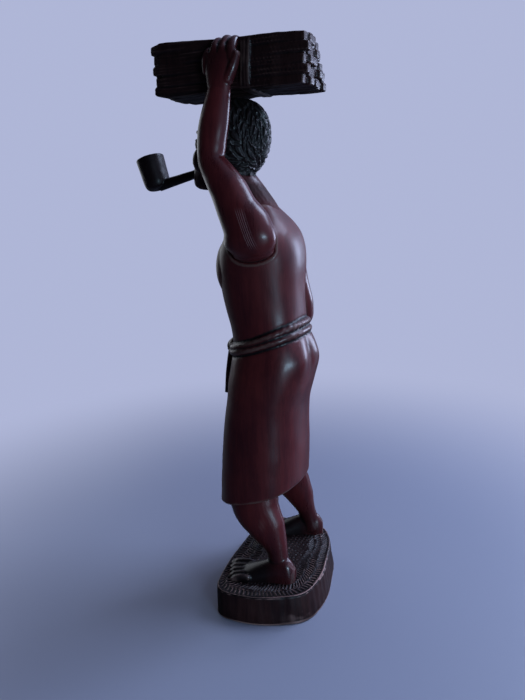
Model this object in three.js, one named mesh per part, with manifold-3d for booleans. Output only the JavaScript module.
// A carved wooden woman who carries a bundle of firewood on her head.
// She, the block she stands on and the bundle are one carving; the pipe is a piece of its own.
// Millimetres, +Z up. The origin is near the middle of the underside, her front looks to -Y.
import * as THREE from 'three';
import { mergeVertices } from 'three/addons/utils/BufferGeometryUtils.js';
import Module from 'manifold-3d';

const wasm = await Module();
wasm.setup();

// Driving dimensions
const MIDDLE = -6; // X of the plane that halves the woman
const BASE_HEIGHT = 22;
const BASE_INSET = 1.6; // how much the block's top is smaller than its foot
const BASE_SHIFT = 1; // how far its foot lies behind its top
const HEM_HEIGHT = 89.5; // the dress's hem, above the middle of the base
const HEM_SLOPE = 0.28; // the hem and the belt are higher at the back
const BELT_HEIGHT = 207;
const BELT_ROPE = 5; // height of one of the belt's two ropes
const BELT_SAG = 1.4; // how far the belt has slipped down in front
const BELT_RISE = 2.4; // how much higher than there it lies at the back
const HEAD_CENTRE = [MIDDLE, -28, 339];
const HEAD_TILT = 10; // degrees, she looks up a little
const BUNDLE_CENTRE = [0, -16, 385.6];
const BUNDLE_SLOPE = 3.6; // degrees, the bundle hangs down at the back
const STICK_WIDTH = 7.7;
const STICK_HEIGHT = 6.6;
const STICK_ROWS = 5;
const STICK_COLUMNS = 5;
const STICK_LENGTH = 107;
const STICK_BACK = 2.5; // how much further the sticks reach behind the bundle's middle than in front
const FRONT_SLANT = 0.1; // the lower a stick, the further back its front end, per millimetre of height
const BACK_SKEW = 0.057; // how much earlier a stick ends at the back, per millimetre away from her left
const BACK_TWIST = 0.008; // what the skew gains per millimetre of height
const TIE_PLACE = 16; // behind the bundle's middle
const GROOVE = 0.9; // between two sticks
const STEM_THICKNESS = 7;
const STEM_CLEARANCE = 0.3;
const DRESS_SIDES = 24;

// Small helpers

const vec = (x, y, z) => new THREE.Vector3(x, y, z);
const radians = THREE.MathUtils.degToRad;

// A manifold solid from a closed geometry, whichever way its faces turn.
function solidOf(geometry) {
  const bare = geometry.index ? geometry.toNonIndexed() : geometry.clone();
  bare.deleteAttribute('normal');
  bare.deleteAttribute('uv');
  const merged = mergeVertices(bare, 1e-4);
  const make = (triVerts) => new wasm.Manifold(
    new wasm.Mesh({ numProp: 3, vertProperties: merged.attributes.position.array, triVerts }),
  );
  const faces = new Uint32Array(merged.index.array);
  const made = make(faces);
  return made.volume() > 0 ? made : make(faces.toReversed());
}

// One solid from many.
function join(solids) {
  return solids.reduce((whole, next) => whole.add(next));
}

// A closed skin through rings that have the same number of points, with both ends filled in.
function loft(rings) {
  const count = rings[0].length;
  const middleOf = (ring) => ring.reduce((sum, p) => sum.add(p), vec(0, 0, 0)).divideScalar(count);
  const points = [...rings.flat(), middleOf(rings[0]), middleOf(rings.at(-1))];
  const faces = [];
  for (let r = 0; r + 1 < rings.length; r++) {
    for (let i = 0; i < count; i++) {
      const here = r * count + i;
      const beside = r * count + ((i + 1) % count);
      faces.push(here, beside, beside + count, here, beside + count, here + count);
    }
  }
  const first = rings.length * count;
  const last = (rings.length - 1) * count;
  for (let i = 0; i < count; i++) {
    const next = (i + 1) % count;
    faces.push(first, next, i, first + 1, last + i, last + next);
  }
  const geometry = new THREE.BufferGeometry().setFromPoints(points);
  geometry.setIndex(faces);
  return solidOf(geometry);
}

// Smooth values between the rows of a table. Each row starts with its place on the way.
function between(rows, place) {
  const last = rows.length - 1;
  const at = THREE.MathUtils.clamp(place, rows[0][0], rows[last][0]);
  let i = 0;
  while (i < last - 1 && at > rows[i + 1][0]) i++;
  const before = rows[Math.max(i - 1, 0)];
  const [low, high] = [rows[i], rows[i + 1]];
  const after = rows[Math.min(i + 2, last)];
  const step = high[0] - low[0];
  const t = (at - low[0]) / step;
  const [t2, t3] = [t * t, t * t * t];
  return low.slice(1).map((value, k) => {
    const leave = ((high[k + 1] - before[k + 1]) / (high[0] - before[0])) * step;
    const arrive = ((after[k + 1] - value) / (after[0] - low[0])) * step;
    return value * (2 * t3 - 3 * t2 + 1) + high[k + 1] * (3 * t2 - 2 * t3)
      + leave * (t3 - 2 * t2 + t) + arrive * (t3 - t2);
  });
}

// Evenly spaced numbers from one end to the other, both ends with them.
function steps(from, to, count) {
  return Array.from({ length: count + 1 }, (_, i) => from + ((to - from) * i) / count);
}

// A point on a squarish oval: power 2 is an ellipse, more is squarer.
function onOval(turn, halfWidth, halfDepth, power = 2) {
  const [c, s] = [Math.cos(turn), Math.sin(turn)];
  const grow = (Math.abs(c) ** power + Math.abs(s) ** power) ** (-1 / power);
  return [c * grow * halfWidth, s * grow * halfDepth];
}

// A horizontal or leaning slice through the body, from its half width, front and back.
function bodyRing(centreX, height, slope, [halfWidth, front, back], sides, power) {
  const middle = (front + back) / 2;
  const depth = (back - front) / 2;
  return steps(0, 2 * Math.PI, sides).slice(0, -1).map((turn) => {
    const [x, y] = onOval(turn, halfWidth, depth, power);
    return vec(centreX + x, middle + y, height + slope * (middle + y));
  });
}

// A round limb along a smooth path. Each row is [x, y, z, half width, half depth].
function limb(rows, { sides = 10, count = rows.length * 2, across = vec(1, 0, 0), round = 0.35 } = {}) {
  const path = new THREE.CatmullRomCurve3(rows.map(([x, y, z]) => vec(x, y, z)));
  const sizes = rows.map((row, i) => [i / (rows.length - 1), row[3], row[4] ?? row[3]]);
  const ring = (t, scale, push) => {
    const tangent = path.getTangent(t);
    const side = across.clone().addScaledVector(tangent, -across.dot(tangent)).normalize();
    const front = tangent.clone().cross(side);
    const [halfWidth, halfDepth] = between(sizes, t);
    const centre = path.getPoint(t).addScaledVector(tangent, push * halfDepth);
    return steps(0, 2 * Math.PI, sides).slice(0, -1).map((turn) => centre.clone()
      .addScaledVector(side, Math.cos(turn) * halfWidth * scale)
      .addScaledVector(front, Math.sin(turn) * halfDepth * scale));
  };
  return loft([
    ring(0, 0.55, -round),
    ...steps(0, 1, count).map((t) => ring(t, 1, 0)),
    ring(1, 0.55, round),
  ]);
}

// An egg shape with its half sizes along X, Y and Z.
function egg([x, y, z], [rx, ry, rz], { turn = [0, 0, 0], across = 12, down = 8 } = {}) {
  const geometry = new THREE.SphereGeometry(1, across, down);
  const spin = new THREE.Quaternion().setFromEuler(new THREE.Euler(...turn.map(radians)));
  geometry.scale(rx, ry, rz);
  geometry.applyQuaternion(spin);
  geometry.translate(x, y, z);
  return solidOf(geometry);
}

// The mirror place on her other side.
const mirrorX = ([x, ...rest]) => [2 * MIDDLE - x, ...rest];

// The block under her feet

function baseOutline() {
  // Corners as seen from above: X, Y and how far the rounding reaches along the edges.
  const corners = [
    [-59, -42, 14], [22, -40, 22], [54.5, -31.5, 11], [54, 2, 20],
    [34, 37, 12], [5, 42, 14], [-41, 31.5, 12], [-59.5, 18, 9],
  ];
  const shape = new THREE.Shape();
  const place = (i) => new THREE.Vector2(...corners[(i + corners.length) % corners.length]);
  corners.forEach(([, , reach], i) => {
    const corner = place(i);
    const towards = (other) => other.sub(corner).setLength(reach).add(corner);
    const start = towards(place(i - 1));
    const end = towards(place(i + 1));
    shape[i ? 'lineTo' : 'moveTo'](start.x, start.y);
    shape.quadraticCurveTo(corner.x, corner.y, end.x, end.y);
  });
  shape.closePath();
  return shape.getPoints(4).slice(0, -1);
}

function makeBase() {
  const outline = baseOutline();
  const ring = (height, inset) => outline.map((p) => {
    const inner = p.clone().setLength(p.length() - inset);
    return vec(inner.x, inner.y + BASE_SHIFT * (1 - height / BASE_HEIGHT), height);
  });
  return loft([
    ring(0, 1),
    ring(1.2, 0),
    ring(BASE_HEIGHT - 1.6, BASE_INSET),
    ring(BASE_HEIGHT, BASE_INSET + 1.4),
  ]);
}

// The dress and the body in it. Rows: height, half width, front and back.
const BODY = [
  [HEM_HEIGHT, 38.5, -45, 20],
  [115, 38, -42.6, 21.6],
  [130, 37, -41.1, 21.8],
  [150, 36, -38.4, 23],
  [168, 35.2, -35, 27.6],
  [182, 33.8, -33.2, 29],
  [195, 31, -30.6, 27],
  [BELT_HEIGHT, 28, -28.5, 24],
  [220, 27.5, -29, 23],
  [236, 28.5, -32.5, 22.9],
  [255, 30.5, -35.5, 24],
  [268, 31.5, -35, 23.4],
  [279, 30, -30, 20.5],
  [287, 24, -24, 16],
  [294, 17, -20, 10],
  [300, 13.2, -24.6, 4.2],
];

// The body's slices lean like the hem and the belt, and lie flat at the shoulders.
function slopeAt(height) {
  return HEM_SLOPE * THREE.MathUtils.smoothstep(310 - height, 15, 80);
}

// How far the buttocks push the dress out behind her, with a shallow valley between them.
function swellBehind({ x, y }, height) {
  const hill = (value, width) => Math.exp(-((value / width) ** 2));
  const aside = Math.abs(x - MIDDLE);
  const up = hill(height - 184, height < 184 ? 13 : 18);
  return (3 * hill(aside - 15, 11) - 0.8 * hill(aside, 4)) * up * THREE.MathUtils.smoothstep(y, 0, 18);
}

function makeDress() {
  const heights = [
    ...steps(HEM_HEIGHT, 160, 5),
    ...steps(167, 195, 4),
    ...steps(204, 287, 7),
    294,
    300,
  ];
  const lip = [HEM_HEIGHT - 1.2, ...between(BODY, HEM_HEIGHT).map((v, i) => v + [-1.2, 1.2, -1.2][i])];
  const rings = heights.map((height) => (
    bodyRing(MIDDLE, height, slopeAt(height), between(BODY, height), DRESS_SIDES, 2.4)
      .map((p) => p.setY(p.y + swellBehind(p, height)))
  ));
  const under = bodyRing(MIDDLE, lip[0], HEM_SLOPE, lip.slice(1), DRESS_SIDES, 2.4);
  return loft([under, ...rings]);
}

// The bust is two soft lumps, with most of each lump inside the dress.
function makeBust() {
  const left = [MIDDLE + 12.5, -24.2, 257];
  return [left, mirrorX(left)].map((place) => egg(place, [13, 11, 21], { across: 16, down: 12 }));
}

// Two ropes make the belt. They overlap in front and on her left, rise behind her and part there.
function makeBelt() {
  const count = 24;
  const rope = (offset) => {
    const centres = steps(0, 2 * Math.PI, count).slice(0, -1).map((turn) => {
      const behind = Math.max(0, Math.sin(turn));
      const spread = 1 + 0.7 * behind;
      const height = BELT_HEIGHT - BELT_SAG + BELT_RISE * behind + offset * spread;
      const [halfWidth, front, back] = between(BODY, height);
      const [x, y] = onOval(turn, halfWidth + 0.2, (back - front) / 2 + 0.2, 2.4);
      const middle = (front + back) / 2;
      return vec(MIDDLE + x, middle + y, height + slopeAt(height) * (middle + y));
    });
    const path = new THREE.CatmullRomCurve3(centres, true);
    const section = new THREE.Shape();
    section.absellipse(0, 0, BELT_ROPE / 2, 2.6, 0, 2 * Math.PI, false);
    return closedTube(path, section.getPoints(3).slice(0, -1), count);
  };
  return [rope(-0.36 * BELT_ROPE), rope(0.36 * BELT_ROPE)];
}

// A tube that closes on itself around an upright axis.
function closedTube(path, section, count) {
  const rings = steps(0, 1, count).slice(0, -1).map((t) => {
    const centre = path.getPoint(t);
    const tangent = path.getTangent(t);
    const up = vec(0, 0, 1).addScaledVector(tangent, -tangent.z).normalize();
    const out = tangent.clone().cross(up);
    return section.map((p) => centre.clone().addScaledVector(up, p.x).addScaledVector(out, p.y));
  });
  const points = rings.flat();
  const sides = section.length;
  const faces = [];
  for (let r = 0; r < count; r++) {
    for (let i = 0; i < sides; i++) {
      const next = (r + 1) % count;
      const beside = (i + 1) % sides;
      const corners = [r * sides + i, r * sides + beside, next * sides + beside, next * sides + i];
      faces.push(corners[0], corners[1], corners[2], corners[0], corners[2], corners[3]);
    }
  }
  const geometry = new THREE.BufferGeometry().setFromPoints(points);
  geometry.setIndex(faces);
  return solidOf(geometry);
}

// The knot in front and the two ends of the rope that hang from it.
function makeKnot() {
  const knot = egg([MIDDLE + 4, -30.5, 199], [6, 4, 5.5], { across: 8, down: 6 });
  const tails = [[3, 40], [10, 33]].map(([aside, length]) => limb([
    [MIDDLE + aside, -31, 196, 2.6, 1.8],
    [MIDDLE + aside + 1.5, -34.5, 196 - length / 2, 2.9, 1.8],
    [MIDDLE + aside + 1, -36.5, 196 - length, 3.4, 1.8],
  ], { sides: 6, count: 3 }));
  return [knot, ...tails];
}

// Legs and feet

function makeLegs() {
  const left = [
    [18.6, 9.6, 26, 8.4, 9.6],
    [18.4, 8, 36, 7.2, 8.1],
    [17.6, 5.8, 46, 7.8, 9.4],
    [16.6, -1.4, 60, 11, 15.6],
    [15, -11.5, 76, 13.6, 20],
    [12, -15, 100, 15, 19.5],
  ];
  const right = [
    [-47.4, 8.2, 26, 7.8, 9],
    [-46.6, 6.8, 36, 6.9, 7.8],
    [-45.2, 4.6, 45, 7.4, 8.6],
    [-42, 1, 58, 9.6, 12.6],
    [-36.5, -4, 74, 11.5, 16.4],
    [-29, -10, 100, 12, 17.5],
  ];
  return [left, right].map((rows) => limb(rows, { sides: 12, count: 7 }));
}

// A bare foot from the heel to the balls, with five toes. Rows go along the foot: distance from
// the heel, half width, height at the middle. The big toe's side is 1 towards +X, else -1.
function makeFoot(heel, heading, bigToeSide, width) {
  const turn = radians(heading);
  const forward = vec(Math.sin(turn), -Math.cos(turn), 0);
  const aside = vec(-forward.y, forward.x, 0).multiplyScalar(bigToeSide * width);
  const place = (along, side, up) => heel.clone()
    .addScaledVector(forward, along).addScaledVector(aside, side).setZ(BASE_HEIGHT + up);
  const rows = [
    [0.5, 4.5, 9], [5, 7.2, 16], [12, 7.6, 18], [20, 8.2, 15], [30, 9.8, 10.5], [38, 11, 7], [43, 10.8, 5],
  ];
  const rings = rows.map(([along, half, up]) => steps(0, Math.PI, 6).map((t) => (
    place(along, -Math.cos(t) * half * (1 + 0.12 * Math.sin(t)), -1.5 + Math.sin(t) * (up + 1.5))
  )));
  // Each toe, the big one first: distance to the side, reach from the heel, half width.
  const toes = [
    [8.2, 54.5, 3.5], [3.2, 54, 2.7], [-1.4, 53, 2.6], [-6, 51.5, 2.5], [-10.4, 49.5, 2.4],
  ].map(([side, reach, half]) => {
    const start = place(38, side * 0.92, 2.6);
    const end = place(reach - half, side, 1.9);
    return limb([
      [start.x, start.y, start.z, half, half + 0.6],
      [end.x, end.y, end.z, half, half],
    ], { sides: 5, count: 1, round: 0.6 });
  });
  return [loft(rings), ...toes];
}

// Arms and hands

function makeRaisedArm() {
  const arm = limb([
    [23, 1.6, 270, 9.5, 15],
    [25.5, 1.2, 277, 12.2, 18.4],
    [26, -0.6, 286, 12.5, 17],
    [26.5, -6.2, 297, 12, 14],
    [27.5, -11.2, 309, 11, 12.6],
    [28.5, -17, 319, 9.5, 10.8],
    [28, -22.4, 328, 8.2, 9],
    [26.5, -22.4, 338, 8.4, 9.8],
    [25, -20.8, 350, 8.2, 10.2],
    [23.5, -18.6, 361, 7, 9],
    [22.5, -16.8, 370, 5.8, 7.8],
  ], { sides: 12, count: 13 });
  return [arm, ...makeRaisedHand()];
}

// Her left hand lies flat on the bundle, four fingers bend over its upper edge.
function makeRaisedHand() {
  const palm = limb([
    [22.5, -16.6, 367, 5.6, 7.6],
    [22.8, -16.6, 376, 4.6, 8.6],
    [22.4, -16, 385, 4, 10],
    [21.6, -16, 391, 3.4, 11.4],
  ], { sides: 8, count: 3 });
  const fingers = [[-25, -5], [-18.6, -0.6], [-12.6, 0], [-7, -1.2]].map(([y, up]) => limb([
    [21.8, y, 387 + up, 3.2, 3],
    [21.6, y + 0.2, 394 + up, 3.2, 2.9],
    [17.6, y + 0.4, 399 + up, 3, 2.8],
    [10, y + 0.8, 399.6 + up, 2.6, 2.6],
  ], { sides: 6, count: 4, across: vec(0, 1, 0), round: 0.6 }));
  const thumb = limb([
    [22.6, -10, 375, 3.8, 3.4],
    [22.4, -6, 382, 3.3, 3],
    [21.4, -3.6, 389, 2.8, 2.6],
  ], { sides: 6, count: 2, round: 0.6 });
  return [palm, ...fingers, thumb];
}

// Her right arm is bent with the hand on the waist.
function makeBentArm() {
  const arm = limb([
    [-25, -3, 279, 11, 8],
    [-33, -1, 275.5, 12, 11],
    [-38.8, 0.4, 266, 11.6, 11.4],
    [-42, 2, 253, 9.8, 10.4],
    [-45, 4, 240, 8.4, 9.4],
    [-48.5, 7.4, 222, 7.4, 8],
    [-49, 6, 212, 7, 7.4],
    [-45.5, -3, 209.5, 6.4, 6.6],
    [-40, -13, 207.5, 5.4, 5.6],
    [-36, -19, 206, 4.2, 5.8],
  ], { sides: 10, count: 12, across: vec(0.3, 0.9, 0.2) });
  const fingers = [-6, -1.8, 2.4, 6.4].map((up, i) => limb([
    [-37.5, -16.5, 206 + up * 0.7, 2.8],
    [-32, -24, 204.5 + up, 2.6],
    [-25 + i, -29.6, 202.5 + up, 2.3],
  ], { sides: 6, count: 2, round: 0.6 }));
  return [arm, ...fingers];
}

// Neck and head

function makeNeck() {
  return limb([
    [MIDDLE, -2, 281, 16, 15],
    [MIDDLE, -6, 292, 13.5, 14.5],
    [MIDDLE, -12.5, 304, 12, 12.8],
    [MIDDLE, -20.5, 316, 12, 11.8],
    [MIDDLE, -26, 328, 12.6, 12],
  ], { sides: 14, count: 5 });
}

// Rows from chin to crown: height from the head's middle, half width, front and back.
const HEAD = [
  [-30, 7, -20.5, -9],
  [-28, 10, -23.5, -3],
  [-23, 13, -24.5, 3],
  [-17, 15.6, -23.8, 10],
  [-8, 18, -23.4, 18],
  [0, 19.4, -22.2, 23.6],
  [8, 20, -22.4, 26.4],
  [17, 19, -19.8, 26],
  [25, 15, -13.5, 20],
  [29.5, 8, -6, 11],
];

// The head is shaped upright around its own middle, then leant back into its place.
function makeHead() {
  const rings = [-30, -28.4, -24, -18, -11, -4, 3, 9, 16, 22, 26.5, 29.5]
    .map((height) => bodyRing(0, height, 0, between(HEAD, height), 20, 2.2));
  return join([loft(rings), ...makeFace(), makeHair()])
    .rotate([-HEAD_TILT, 0, 0])
    .translate(HEAD_CENTRE);
}

function makeFace() {
  const at = (side, front, up) => [side, 1 - front, up];
  const nose = loft([[4, 1.5, 24], [-2, 1.9, 25.4], [-8, 2.6, 27.6], [-11.8, 3.3, 29.4], [-14, 3, 28.2]]
    .map(([up, half, front]) => [
      vec(...at(-half * 1.5, 22, up)),
      vec(...at(-half * 0.6, front, up)),
      vec(...at(half * 0.6, front, up)),
      vec(...at(half * 1.5, 22, up)),
    ]));
  const pair = (make) => [1, -1].map(make);
  const small = { across: 7, down: 5 };
  const wings = pair((s) => egg(at(s * 3.8, 25, -12.6), [2.3, 2.8, 2.1], { across: 6, down: 4 }));
  const eyes = pair((s) => egg(at(s * 8.6, 20.8, 0), [4.4, 2.8, 2.4], { ...small, turn: [0, 0, s * 14] }));
  const brows = pair((s) => limb([
    [...at(s * 3, 23.6, 5.8), 1.6],
    [...at(s * 8.6, 22.8, 7.4), 1.7],
    [...at(s * 14.4, 18, 5.4), 1.4],
  ], { sides: 5, count: 2, across: vec(0, 0, 1) }));
  const cheeks = pair((s) => egg(at(s * 10, 17, -9.6), [6.2, 6, 6.6], small));
  const lips = [[-17.4, 25.6, 1.5], [-20, 25.2, 1.6]].map(([up, front, thick]) => limb([
    [...at(-6.8, front - 3.2, up), thick * 0.6],
    [...at(-2.8, front - 0.4, up + 0.3), thick],
    [...at(2.8, front - 0.4, up + 0.3), thick],
    [...at(6.8, front - 3.2, up), thick * 0.6],
  ], { sides: 5, count: 3, across: vec(0, 0, 1) }));
  const chin = egg(at(0, 19.8, -25.8), [6, 5.2, 4.2], small);
  const ears = pair((s) => egg(at(s * 20, -2.5, -2), [2.2, 4.6, 7.4], { ...small, turn: [12, 0, 0] }));
  return [nose, ...wings, ...eyes, ...brows, ...cheeks, ...lips, chin, ...ears];
}

// The hair: strands cut with a gouge run from the brow over the head to the nape. It is fullest
// at the upper back, under the bundle.
function makeHair() {
  const strands = 14;
  const around = strands * 2;
  const down = 8;
  const depth = 0.5;
  const fullest = vec(0, 0.62, 0.785);
  const lean = new THREE.Quaternion().setFromAxisAngle(vec(1, 0, 0), radians(38));
  const rings = steps(0.06, Math.PI - 0.06, down).map((polar) => (
    steps(0, 2 * Math.PI, around).slice(0, -1).map((turn, i) => {
      const sway = 0.09 * Math.sin(3 * polar + turn * 2);
      const point = vec(
        Math.sin(polar) * Math.cos(turn + sway),
        Math.sin(polar) * Math.sin(turn + sway),
        Math.cos(polar),
      ).applyQuaternion(lean);
      point.multiplyScalar(1 + 0.13 * Math.max(0, point.dot(fullest)) ** 6);
      const reach = i % 2 ? -depth : depth;
      return vec(
        point.x * (22 + reach),
        2 + point.y * (27.8 + reach),
        4.6 + point.z * (26.4 + reach),
      );
    })
  ));
  return loft(rings).subtract(faceOpening());
}

// What the hair leaves free: the face, the ears and the neck.
function faceOpening() {
  const outline = new THREE.Shape();
  outline.absellipse(0, -8, 25.4, 30, 0, 2 * Math.PI, false);
  const face = new THREE.ExtrudeGeometry(outline, { depth: 40, bevelEnabled: false, curveSegments: 6 });
  face.rotateX(Math.PI / 2);
  face.translate(0, -6, 0);
  const under = new THREE.BoxGeometry(80, 80, 40);
  under.rotateX(radians(-24));
  under.translate(0, 0, -38.5);
  return solidOf(face).add(solidOf(under));
}

// The bundle of firewood

function makeStick(column, row) {
  const wide = (STICK_WIDTH - GROOVE) / 2;
  const tall = (STICK_HEIGHT - GROOVE) / 2;
  const corners = [[wide, -tall], [wide, tall], [-wide, tall], [-wide, -tall]];
  const across = (column - (STICK_COLUMNS - 1) / 2) * STICK_WIDTH;
  const up = (row - (STICK_ROWS - 1) / 2) * STICK_HEIGHT;
  const uneven = (seed) => 1.5 * Math.sin(seed * 2.4 + column * 1.9 + row * 3.1);
  const skew = (STICK_COLUMNS - 1 - column) * STICK_WIDTH * (BACK_SKEW + BACK_TWIST * up);
  return bundleLoft(
    corners.map(([cx, cz]) => [across + cx, up + cz]),
    -STICK_LENGTH / 2 + uneven(1) - FRONT_SLANT * up,
    STICK_LENGTH / 2 + uneven(4) + STICK_BACK - skew,
  );
}

// A length of the bundle, a little thicker in front and drawn together by the tie.
function bundleLoft(corners, from, to) {
  const places = [[from, 0.94, 0.94], [from + 8, 1, 1.03], [TIE_PLACE, 0.94, 0.9], [to, 0.9, 0.9]];
  return loft(places.map(([along, narrow, low]) => (
    corners.map(([x, z]) => vec(x * narrow, along, z * low))
  )));
}

function makeBundle() {
  const sticks = [];
  for (let column = 0; column < STICK_COLUMNS; column++) {
    for (let row = 0; row < STICK_ROWS; row++) sticks.push(makeStick(column, row));
  }
  const wide = (STICK_COLUMNS * STICK_WIDTH) / 2;
  const tall = (STICK_ROWS * STICK_HEIGHT) / 2;
  const [x, z] = [wide - 1.6, tall - 1.6];
  const core = bundleLoft([[x, -z], [x, z], [-x, z], [-x, -z]], -STICK_LENGTH / 2 + 4, STICK_LENGTH / 2 - 4);
  const tie = new THREE.BoxGeometry(2 * wide * 0.94 + 0.8, 6, 2 * tall * 0.9 + 0.8);
  tie.translate(0, TIE_PLACE, 0);
  return join([core, ...sticks, solidOf(tie)])
    .rotate([-BUNDLE_SLOPE, 0, 0])
    .translate(BUNDLE_CENTRE);
}

// The pipe. Its stem sits in a short bore between the lips.

const BOWL_CENTRE = [MIDDLE, -93.8, 326.4];
const BOWL_LEAN = 15; // degrees, its rim leans forward
const STEM_ROOT = vec(MIDDLE, -90, 317.4);
const STEM_TIP = vec(MIDDLE, -52.5, 324.6);

// The stem, or with a clearance the bore that it sits in.
function makeStem(clearance = 0) {
  const direction = STEM_TIP.clone().sub(STEM_ROOT).normalize();
  const tip = STEM_TIP.clone().addScaledVector(direction, clearance);
  const half = STEM_THICKNESS / 2 + clearance;
  return limb([
    [...STEM_ROOT.toArray(), half + 0.5],
    [...tip.toArray(), half - 0.5],
  ], { sides: 12, count: 1, round: 0 });
}

function makePipe() {
  const profile = [
    [0, -12.2], [5.5, -12], [8.6, -10.4], [9.9, -7], [10.2, 0], [10.6, 8], [10.7, 11.4],
    [10, 12.2], [6.2, 12.2], [6, 4.5], [0, 4],
  ].map(([r, z]) => new THREE.Vector2(r, z));
  const bowl = new THREE.LatheGeometry(profile, 20);
  bowl.rotateX(Math.PI / 2);
  bowl.rotateX(radians(BOWL_LEAN));
  bowl.translate(...BOWL_CENTRE);
  return solidOf(bowl).add(makeStem());
}

// The whole carving

function makeFigure() {
  const leftFoot = makeFoot(vec(18, 22, 0), 12, -1, 1);
  const rightFoot = makeFoot(vec(-51, 19, 0), 19, 1, 0.92);
  const carved = join([
    makeBase(),
    makeDress(),
    ...makeBust(),
    ...makeBelt(),
    ...makeKnot(),
    ...makeLegs(),
    ...leftFoot,
    ...rightFoot,
    ...makeRaisedArm(),
    ...makeBentArm(),
    makeNeck(),
    makeHead(),
    makeBundle(),
  ]);
  return carved.subtract(makeStem(STEM_CLEARANCE));
}

function meshOf(name, solid, material) {
  const { vertProperties, triVerts } = solid.getMesh();
  const geometry = new THREE.BufferGeometry();
  geometry.setAttribute('position', new THREE.BufferAttribute(vertProperties, 3));
  geometry.setIndex(new THREE.BufferAttribute(triVerts, 1));
  geometry.computeVertexNormals();
  const mesh = new THREE.Mesh(geometry, material);
  mesh.name = name;
  return mesh;
}

const redWood = new THREE.MeshStandardMaterial({ color: 0x4a2118, roughness: 0.32, metalness: 0 });
const darkWood = new THREE.MeshStandardMaterial({ color: 0x1d1211, roughness: 0.36, metalness: 0 });

const woman = new THREE.Group();
woman.add(meshOf('figure', makeFigure(), redWood));
woman.add(meshOf('pipe', makePipe(), darkWood));

export default woman;
